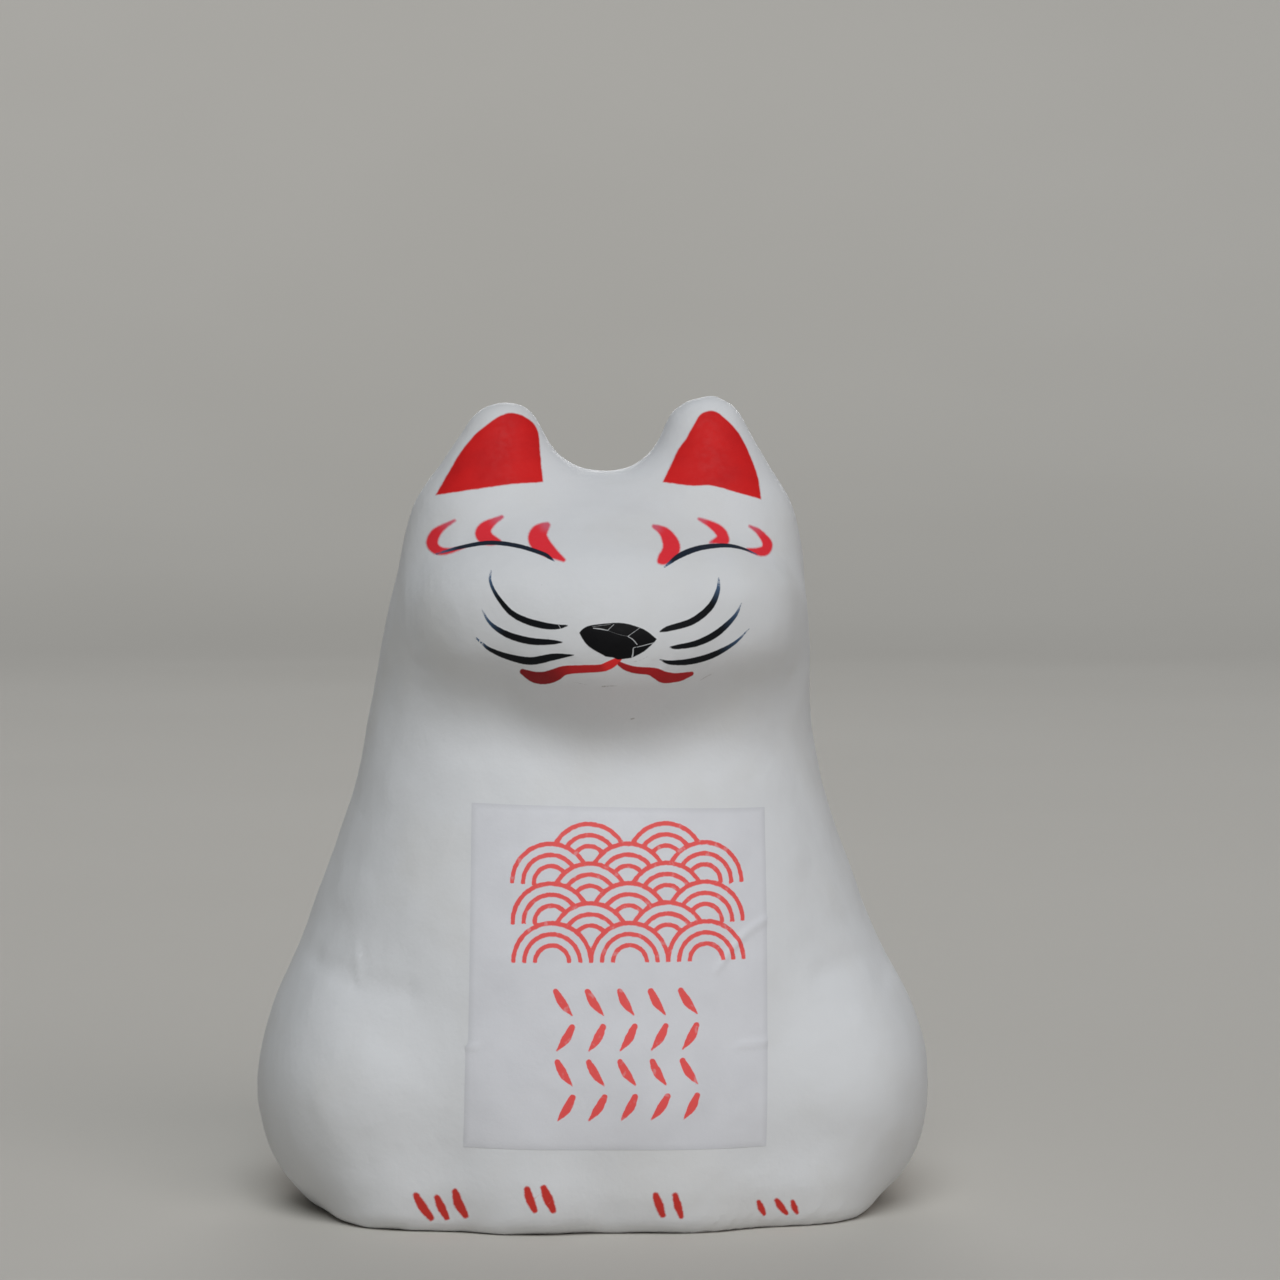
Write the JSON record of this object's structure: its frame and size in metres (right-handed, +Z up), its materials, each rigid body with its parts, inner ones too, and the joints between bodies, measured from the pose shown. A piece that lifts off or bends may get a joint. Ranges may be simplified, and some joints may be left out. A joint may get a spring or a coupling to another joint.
{
  "type": "papier-mache fox figure",
  "caption": "Seated papier-mache fox with upright ears, broad painted face, full haunches, a tail laid up its back and a printed paper label glued on its chest.",
  "frame": {"origin": "on the ground, under the middle of the figure's box", "axes": "the fox looks along -Y, +X is at the right of a viewer who faces it, +Z is up"},
  "size_m": [0.0948, 0.0826, 0.1132],
  "materials": {
    "painted_paper": "papier-mache under chalky white ground, hand painted in red and black, low sheen",
    "label_paper": "thin pasted paper with red print, low sheen"
  },
  "bodies": {
    "root": {"fox_figure": "painted_paper", "paper_label": "label_paper"}
  },
  "joints": []
}
